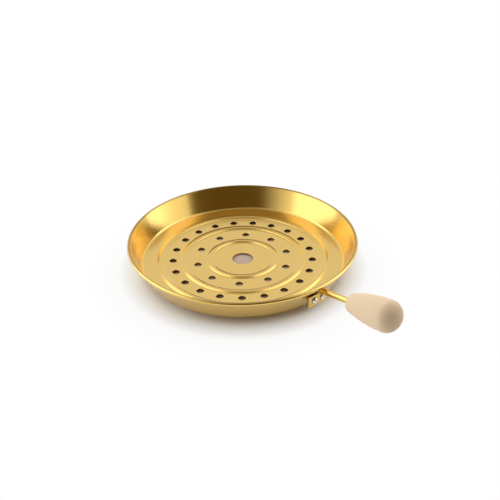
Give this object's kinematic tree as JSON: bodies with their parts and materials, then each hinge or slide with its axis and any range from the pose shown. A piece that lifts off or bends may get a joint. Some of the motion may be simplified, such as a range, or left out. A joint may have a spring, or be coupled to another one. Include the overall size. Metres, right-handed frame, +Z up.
{
  "type": "perforated stove pan",
  "caption": "Shallow round pan with a flared wall, a rolled rim and a perforated ribbed floor, over a fuel tray, on a riveted rod handle with a turned wooden grip",
  "frame": {"origin": "middle of the footprint, on the table", "axes": "handle along +X, +Z up"},
  "size_m": [0.2726, 0.2, 0.0449],
  "materials": {
    "gold_sheet": "gold anodised, satin",
    "gold_rod": "polished",
    "bright_rivet": "bright",
    "steel_wire": "drawn",
    "brass_bush": "plain",
    "pale_wood": "turned and sanded",
    "wick_fibre": "woven fibre"
  },
  "bodies": {
    "root": {"pan": "gold_sheet", "rim_wire": "steel_wire", "fuel_tray": "gold_sheet", "wick_pad": "wick_fibre", "handle_bracket": "gold_sheet", "rivet_left": "bright_rivet", "rivet_right": "bright_rivet", "rivet_washer_left": "bright_rivet", "rivet_washer_right": "bright_rivet", "handle_rod": "gold_rod", "grip_insert": "brass_bush", "grip": "pale_wood"}
  },
  "joints": []
}
